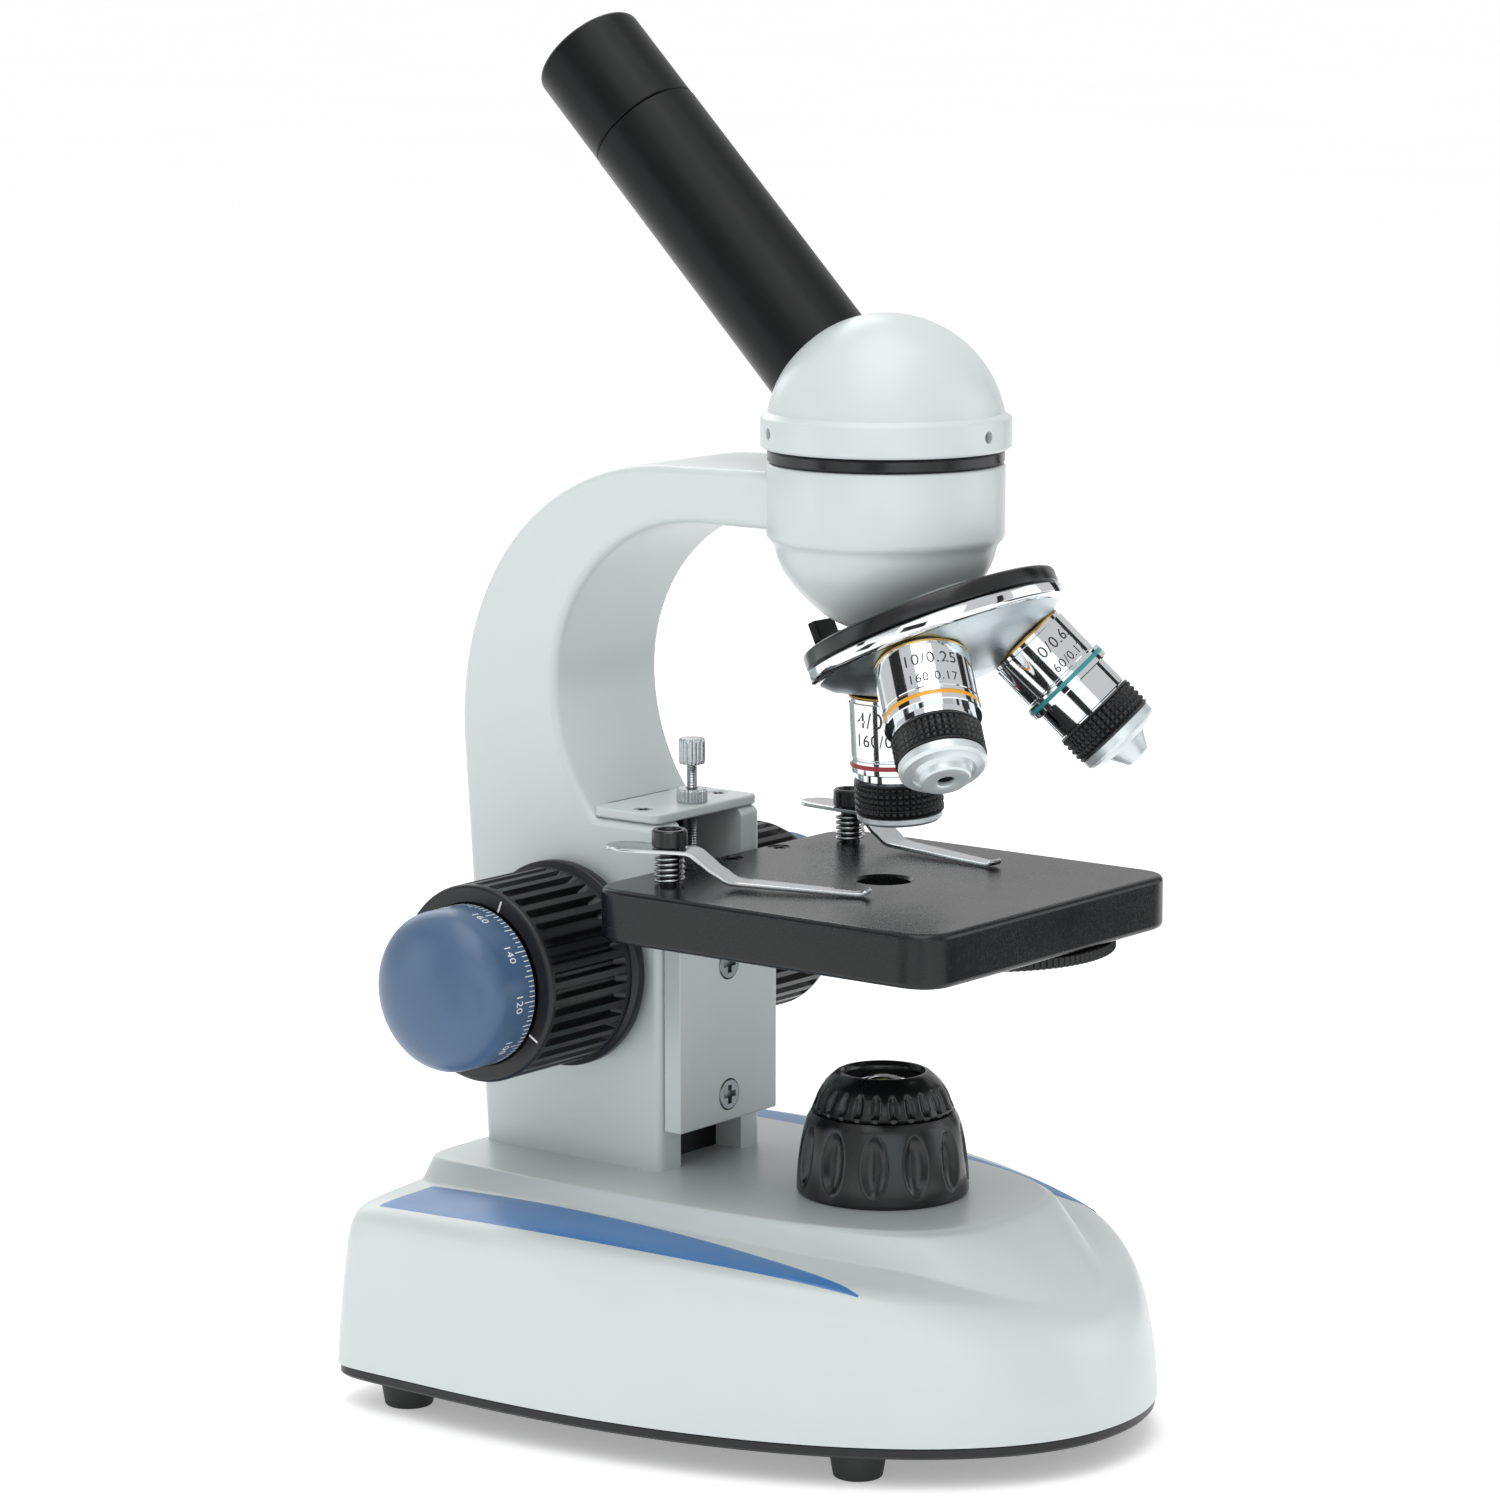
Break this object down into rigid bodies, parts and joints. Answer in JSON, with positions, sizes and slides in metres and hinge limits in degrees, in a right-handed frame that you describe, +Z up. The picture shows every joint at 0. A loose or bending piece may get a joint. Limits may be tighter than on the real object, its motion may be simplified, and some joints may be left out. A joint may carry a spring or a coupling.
{
  "type": "microscope",
  "caption": "Student monocular microscope: cast base and arm, inclined rotating head, triple nosepiece, rack-driven stage with clips, coaxial focus knobs and base lamp.",
  "frame": {"origin": "on the table, under the middle of the object's bounding box", "axes": "+Z up; -Y towards the front, the free edge of the stage; +Y towards the arm; +X to the right of a viewer at the front"},
  "size_m": [0.138, 0.1662, 0.2998],
  "materials": {
    "enamel": "cool off-white baked enamel, satin, faint orange peel",
    "blue_trim": "smooth satin blue trim film",
    "knob_blue": "satin slate-blue moulded plastic with white graduations",
    "black_plastic": "satin black moulded plastic",
    "black_paint": "satin black anodised or painted metal",
    "rubber": "matte black rubber",
    "chrome": "polished chrome plating",
    "nickel": "satin nickel plating",
    "steel": "bright nickel-plated steel",
    "glass": "clear polished optical glass"
  },
  "bodies": {
    "frame": {"base_shell": "enamel", "bottom_plate": "black_plastic", "foot_rear_left": "rubber", "foot_rear_right": "rubber", "foot_front_left": "rubber", "foot_front_right": "rubber", "strip_left": "blue_trim", "strip_right": "blue_trim", "power_inlet": "black_plastic", "lamp_housing": "black_plastic", "lamp_cap": "black_plastic", "lamp_lens": "glass", "lamp_board": "black_plastic", "arm": "enamel", "stop_plate": "enamel", "stop_plate_screw_left": "steel", "stop_plate_screw_right": "steel", "stop_nut": "steel", "head_ring": "black_paint", "nosepiece_plate": "black_paint", "click_bracket": "black_paint", "turret_screw": "steel"},
    "switch": {"switch_rocker": "black_plastic"},
    "stop": {"stop_screw": "steel"},
    "head": {"head_dome": "enamel", "prism": "glass", "draw_tube": "black_paint"},
    "ocular": {"eyepiece": "black_plastic", "eye_lens": "glass"},
    "nosepiece": {"turret": "nickel", "objective_4x_barrel": "chrome", "objective_4x_grip": "black_plastic", "objective_40x_barrel": "chrome", "objective_40x_grip": "black_plastic", "objective_10x_barrel": "chrome", "objective_10x_grip": "black_plastic"},
    "stage": {"stage_plate": "black_paint", "slide_plate": "enamel", "slide_block": "black_paint", "slide_screw_upper": "steel", "slide_screw_lower": "steel", "stage_screw_left": "steel", "stage_screw_mid": "steel", "stage_screw_right": "steel", "condenser_mount": "black_paint", "condenser_lens": "glass", "diaphragm_pivot": "steel", "clip_post_left": "black_plastic", "clip_post_right": "black_plastic", "clip_spring_left": "steel", "clip_spring_right": "steel"},
    "clip_left": {"stage_clip_left": "steel"},
    "clip_right": {"stage_clip_right": "steel"},
    "diaphragm": {"diaphragm_disc": "black_plastic"},
    "coarse": {"focus_shaft": "steel", "coarse_knob_left": "black_plastic", "coarse_knob_right": "black_plastic"},
    "fine": {"fine_shaft": "steel", "fine_knob_left": "knob_blue", "fine_knob_right": "knob_blue"}
  },
  "joints": [
    {"name": "stage_focus", "type": "slide", "parent": "frame", "child": "stage", "axis": [0, 0, 1], "range_m": [-0.0075, 0.0055]},
    {"name": "coarse_turn", "type": "hinge", "parent": "frame", "child": "coarse", "pos_m": [0, 0.05135, 0.094], "axis": [1, 0, 0], "range_deg": [-85, 115]},
    {"name": "fine_turn", "type": "hinge", "parent": "frame", "child": "fine", "pos_m": [0, 0.05135, 0.094], "axis": [1, 0, 0], "range_deg": [-850, 1150]},
    {"name": "head_swivel", "type": "hinge", "parent": "frame", "child": "head", "pos_m": [0, -0.02065, 0.2102], "axis": [0, 0, 1], "continuous": true},
    {"name": "eyepiece_pull", "type": "slide", "parent": "head", "child": "ocular", "axis": [0, 0.7071, 0.7071], "range_m": [0, 0.03]},
    {"name": "nosepiece_turn", "type": "hinge", "parent": "frame", "child": "nosepiece", "pos_m": [0, -0.02065, 0.2], "axis": [0, -0.4226, -0.9063], "continuous": true},
    {"name": "clip_left_swing", "type": "hinge", "parent": "stage", "child": "clip_left", "pos_m": [-0.032, 0.01235, 0.125], "axis": [0, 0, 1], "range_deg": [-30, 12]},
    {"name": "clip_right_swing", "type": "hinge", "parent": "stage", "child": "clip_right", "pos_m": [0.032, 0.01235, 0.125], "axis": [0, 0, 1], "range_deg": [-12, 30]},
    {"name": "diaphragm_turn", "type": "hinge", "parent": "stage", "child": "diaphragm", "pos_m": [0.0129, -0.03725, 0.1046], "axis": [0, 0, 1], "continuous": true},
    {"name": "stop_screw_turn", "type": "hinge", "parent": "frame", "child": "stop", "pos_m": [0, 0.03175, 0.13], "axis": [0, 0, 1], "continuous": true},
    {"name": "switch_rock", "type": "hinge", "parent": "frame", "child": "switch", "pos_m": [0.017, 0.07955, 0.024], "axis": [1, 0, 0], "range_deg": [0, 14]}
  ],
  "couplings": [
    {"joint": "coarse_turn", "follows": "stage_focus", "rad_per_m": -256.41},
    {"joint": "fine_turn", "follows": "stage_focus", "rad_per_m": -2564.1}
  ]
}
